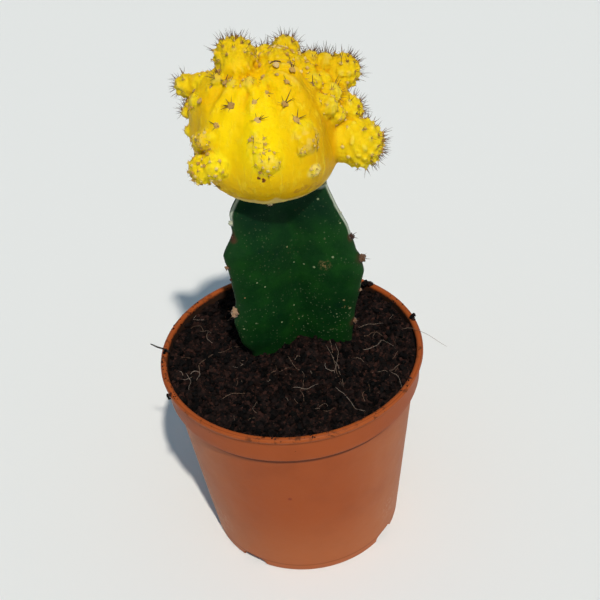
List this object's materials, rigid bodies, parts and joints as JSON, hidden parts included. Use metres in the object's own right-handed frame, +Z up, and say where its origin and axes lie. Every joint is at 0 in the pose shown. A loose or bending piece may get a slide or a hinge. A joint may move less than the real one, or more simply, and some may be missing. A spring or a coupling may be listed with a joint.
{
  "type": "potted moon cactus",
  "caption": "Grafted moon cactus: a ribbed yellow globe with clustered offsets and spines on a winged green stem, set in peat in a tapered pot with a stepped, rolled rim.",
  "frame": {"origin": "middle of the pot's foot, on the surface it stands on", "axes": "+Z up along the pot's axis, -Y towards the front of the plant"},
  "size_m": [0.085, 0.085, 0.1768],
  "materials": {
    "pot_plastic": "semi-matte moulded plastic, terracotta orange, scuffed",
    "peat": "dark brown crumbly peat, dry",
    "stem_skin": "waxy dark green skin with pale specks",
    "scion_skin": "smooth golden yellow skin, satin",
    "spines": "dark horny brown spines and greyish brown felt",
    "root_fibres": "pale dry root and peat fibres"
  },
  "bodies": {
    "root": {"pot": "pot_plastic", "soil": "peat", "rootstock": "stem_skin", "scion": "scion_skin"}
  },
  "joints": []
}
